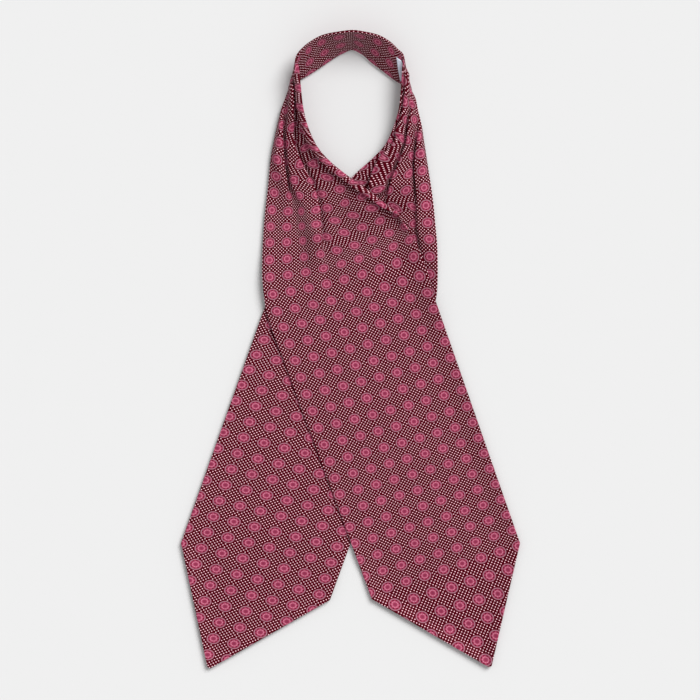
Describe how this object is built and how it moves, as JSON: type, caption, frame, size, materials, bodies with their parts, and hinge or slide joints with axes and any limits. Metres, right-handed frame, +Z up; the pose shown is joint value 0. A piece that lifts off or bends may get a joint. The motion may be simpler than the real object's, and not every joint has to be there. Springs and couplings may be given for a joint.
{
  "type": "silk cravat",
  "caption": "Cravat laid flat, its wide pointed blades crossed and pleated up into a band that loops round the back of the neck.",
  "frame": {"origin": "centre of the bounding box, at the surface the cravat lies on", "axes": "+Y towards the neckband, +X to the right as seen from above, +Z up from the surface"},
  "size_m": [0.321, 0.603, 0.0313],
  "materials": {
    "silk": "printed silk twill with a soft sheen",
    "label_cloth": "bare woven ribbon"
  },
  "bodies": {
    "root": {"over_blade": "silk", "under_blade": "silk", "neckband": "silk", "label": "label_cloth"}
  },
  "joints": []
}
